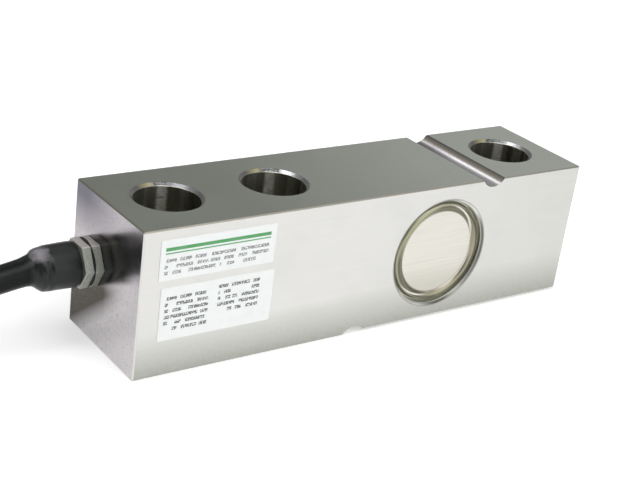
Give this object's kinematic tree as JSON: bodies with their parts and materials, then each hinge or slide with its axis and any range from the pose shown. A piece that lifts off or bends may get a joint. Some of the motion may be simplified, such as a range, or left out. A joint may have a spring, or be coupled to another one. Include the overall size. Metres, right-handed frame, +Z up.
{
  "type": "shear beam load cell",
  "caption": "Steel shear-beam weighing load cell with bolt holes, round side covers over its gauge pockets, a cable gland and a coiled cable.",
  "frame": {"origin": "middle of the bar's underside", "axes": "+X from the cable end to the load end, +Y to the back, +Z up"},
  "size_m": [0.3756, 0.0552, 0.0477],
  "materials": {
    "bar_steel": "ground stainless steel, satin",
    "cover_steel": "pressed stainless sheet, brushed disc and bright bead",
    "plated_brass": "nickel-plated, satin",
    "seal_rubber": "black rubber",
    "boot_rubber": "shrunk black sleeve, slightly shiny",
    "cable_jacket": "black cable jacket",
    "tie_nylon": "black nylon",
    "label_foil": "white printed foil, print left out",
    "gauge_film": "amber carrier film",
    "gauge_foil": "etched resistance foil",
    "terminal_strip": "solder strip with copper pads",
    "circuit_board": "green resist",
    "chip_ceramic": "dark chip body",
    "bare_copper": "bare copper",
    "lacquered_copper": "lacquered copper",
    "insulation_red": "wire insulation",
    "insulation_black": "wire insulation",
    "insulation_green": "wire insulation",
    "insulation_white": "wire insulation",
    "tinned_copper": "tinned strands"
  },
  "bodies": {
    "root": {"beam": "bar_steel", "front_cover": "cover_steel", "rear_cover": "cover_steel", "gland_body": "plated_brass", "gland_nut": "plated_brass", "gland_washer": "seal_rubber", "gland_seal": "seal_rubber", "gland_gasket": "seal_rubber", "cable_boot": "boot_rubber", "cable_lead": "cable_jacket", "cable_hank": "cable_jacket", "cable_tail": "cable_jacket", "hank_tie": "tie_nylon", "end_sleeve": "boot_rubber", "upper_label": "label_foil", "lower_label": "label_foil", "compensation_board": "circuit_board", "zero_resistor": "chip_ceramic", "span_resistor": "chip_ceramic", "temperature_resistor": "chip_ceramic", "front_gauge_film": "gauge_film", "front_left_grid": "gauge_foil", "front_right_grid": "gauge_foil", "front_terminal_strip": "terminal_strip", "front_jumpers": "bare_copper", "rear_gauge_film": "gauge_film", "rear_left_grid": "gauge_foil", "rear_right_grid": "gauge_foil", "rear_terminal_strip": "terminal_strip", "rear_jumpers": "bare_copper", "web_wire_1": "lacquered_copper", "bridge_wire_1": "lacquered_copper", "web_wire_2": "lacquered_copper", "bridge_wire_2": "lacquered_copper", "web_wire_3": "lacquered_copper", "bridge_wire_3": "lacquered_copper", "web_wire_4": "lacquered_copper", "bridge_wire_4": "lacquered_copper", "conductor_red": "insulation_red", "lead_red": "insulation_red", "conductor_black": "insulation_black", "lead_black": "insulation_black", "conductor_green": "insulation_green", "lead_green": "insulation_green", "conductor_white": "insulation_white", "lead_white": "insulation_white", "conductor_drain": "tinned_copper", "lead_drain": "tinned_copper"}
  },
  "joints": []
}
